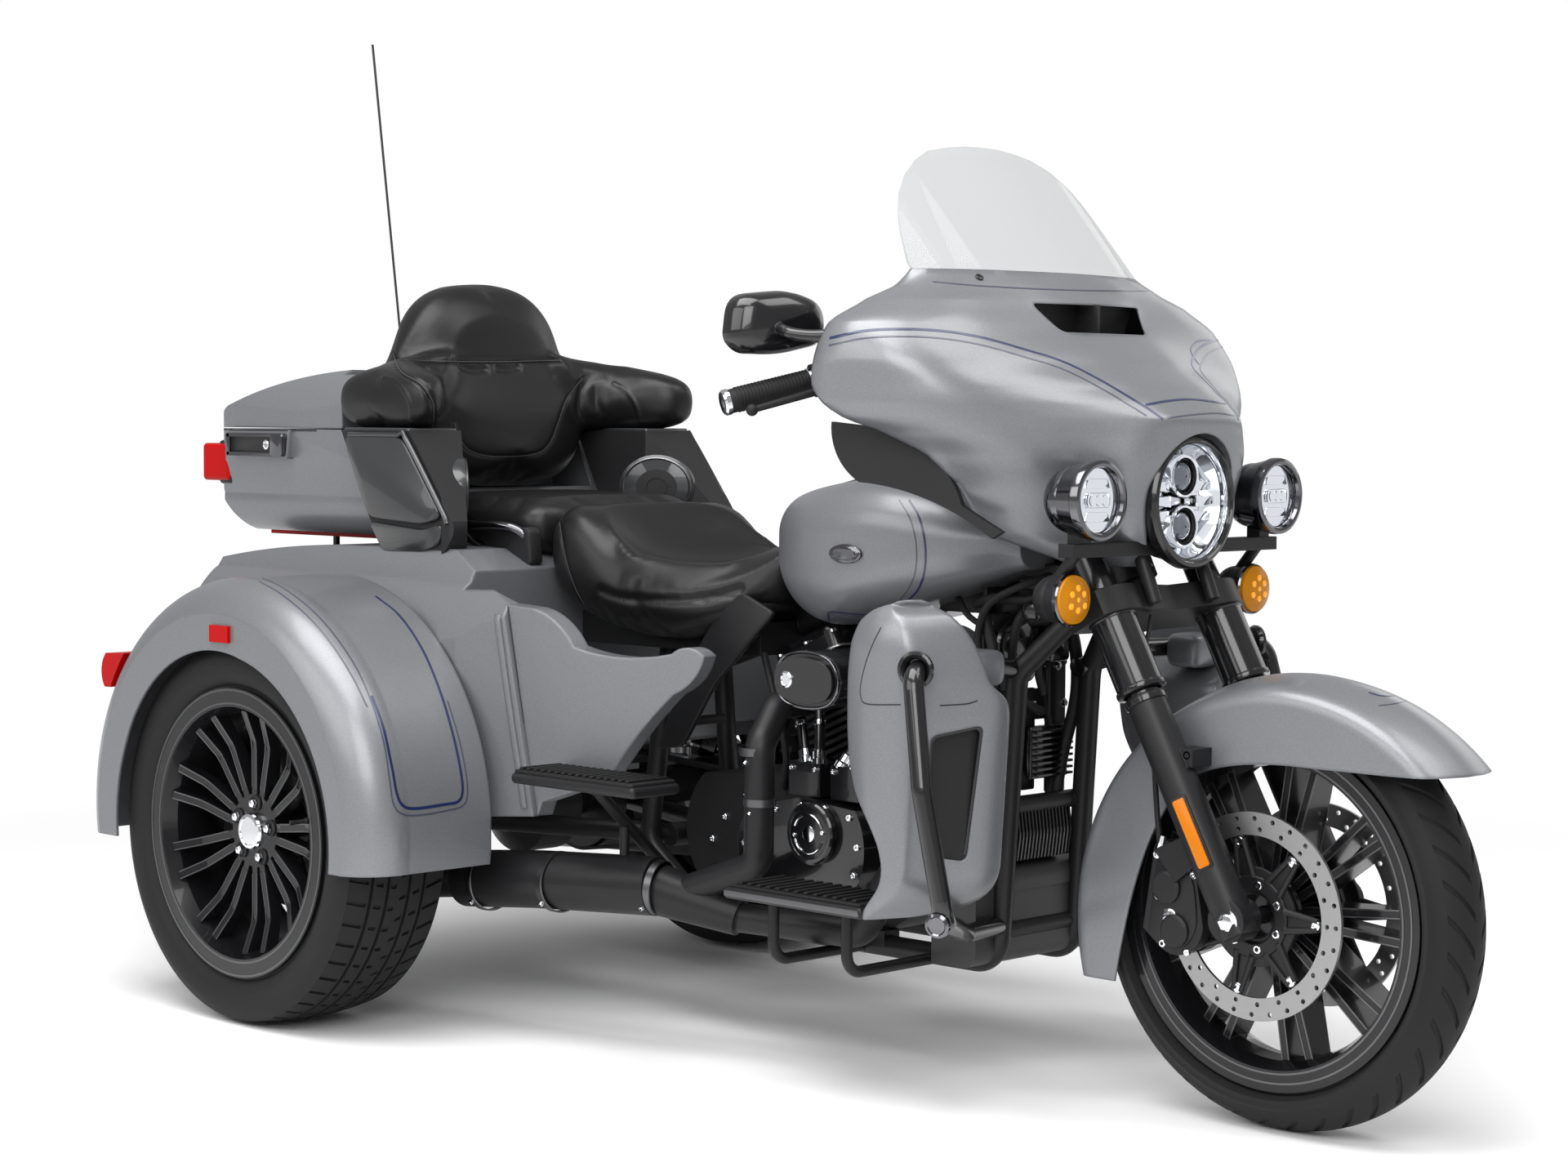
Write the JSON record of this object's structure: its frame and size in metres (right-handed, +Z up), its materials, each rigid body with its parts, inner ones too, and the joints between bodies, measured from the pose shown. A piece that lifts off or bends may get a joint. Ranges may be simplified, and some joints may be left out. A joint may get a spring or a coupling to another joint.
{
  "type": "motorized trike",
  "caption": "Touring motorized trike: steered front wheel, twin rear wheels with round mudguards, V-twin engine, fork-mounted fairing, padded seats, hinged top case and rear boot.",
  "frame": {"origin": "on the ground, under the middle of the overall length (whip aerial included) and width", "axes": "+X forward, +Y to the rider's left, +Z up"},
  "size_m": [2.7219, 1.396, 1.7734],
  "materials": {
    "silver_paint": "gloss metallic",
    "black_paint": "gloss",
    "black_satin": "satin",
    "black_wheel": "gloss black",
    "tyre": "matte",
    "steel": "satin",
    "alloy": "satin",
    "engine_black": "satin",
    "dark_chrome": "polished dark",
    "leather": "grained",
    "plastic": "matte",
    "rubber": "matte",
    "clear_lens": "clear",
    "amber_lens": "translucent",
    "red_lens": "translucent",
    "tinted_screen": "tinted clear"
  },
  "bodies": {
    "chassis": {"frame": "black_satin", "crankcase": "engine_black", "cylinders": "engine_black", "rocker_covers": "dark_chrome", "cam_cover": "dark_chrome", "primary_cover": "dark_chrome", "air_cleaner": "black_paint", "exhaust_headers": "dark_chrome", "silencers": "dark_chrome", "chin_cover": "black_satin", "coolers": "alloy", "lower_fairings": "silver_paint", "engine_guard": "black_paint", "tank": "silver_paint", "tank_console": "black_paint", "rider_seat": "leather", "pillion_seat": "leather", "backrest": "leather", "rear_body": "silver_paint", "rear_mudguards": "silver_paint", "side_panels": "silver_paint", "tail_lamps": "red_lens", "rear_axle": "black_satin", "rear_springs": "steel", "drive_belt": "rubber", "speaker_pods": "plastic", "top_case": "silver_paint", "case_carrier": "black_satin", "aerial": "plastic", "rider_footboards": "black_satin", "passenger_footboards": "black_satin"},
    "steering": {"fork_yokes": "black_satin", "fork_tubes": "black_paint", "fork_sliders": "black_satin", "front_calipers": "black_satin", "front_mudguard": "silver_paint", "fairing": "silver_paint", "dash": "plastic", "windscreen": "tinted_screen", "headlamp": "black_paint", "lamp_lenses": "clear_lens", "lamp_bar": "black_paint", "passing_lamps": "dark_chrome", "indicator_lenses": "amber_lens", "handlebar": "black_paint", "hand_controls": "rubber", "mirrors": "black_paint"},
    "front_wheel_set": {"front_tyre": "tyre", "front_wheel": "black_wheel", "front_brake_discs": "steel"},
    "right_wheel_set": {"rear_tyre_right": "tyre", "rear_wheel_right": "black_wheel"},
    "left_wheel_set": {"rear_tyre_left": "tyre", "rear_wheel_left": "black_wheel"},
    "case_lid": {"top_case_lid": "silver_paint"},
    "door": {"boot_door": "silver_paint"}
  },
  "joints": [
    {"name": "steering_turn", "type": "hinge", "parent": "chassis", "child": "steering", "pos_m": [0.72743, 0, 0.85], "axis": [-0.4384, 0, 0.8988], "range_deg": [-30, 30]},
    {"name": "front_wheel_roll", "type": "hinge", "parent": "steering", "child": "front_wheel_set", "pos_m": [1.042, 0, 0.319], "axis": [0, 1, 0], "continuous": true},
    {"name": "right_wheel_roll", "type": "hinge", "parent": "chassis", "child": "right_wheel_set", "pos_m": [-0.628, -0.56, 0.325], "axis": [0, 1, 0], "continuous": true},
    {"name": "left_wheel_roll", "type": "hinge", "parent": "chassis", "child": "left_wheel_set", "pos_m": [-0.628, 0.56, 0.325], "axis": [0, 1, 0], "continuous": true},
    {"name": "lid_open", "type": "hinge", "parent": "chassis", "child": "case_lid", "pos_m": [-1.033, 0.334, 1.001], "axis": [-1, 0, 0], "range_deg": [0, 75]},
    {"name": "boot_door_open", "type": "hinge", "parent": "chassis", "child": "door", "pos_m": [-1.109, 0, 0.418], "axis": [0, -1, 0], "range_deg": [0, 85]}
  ]
}
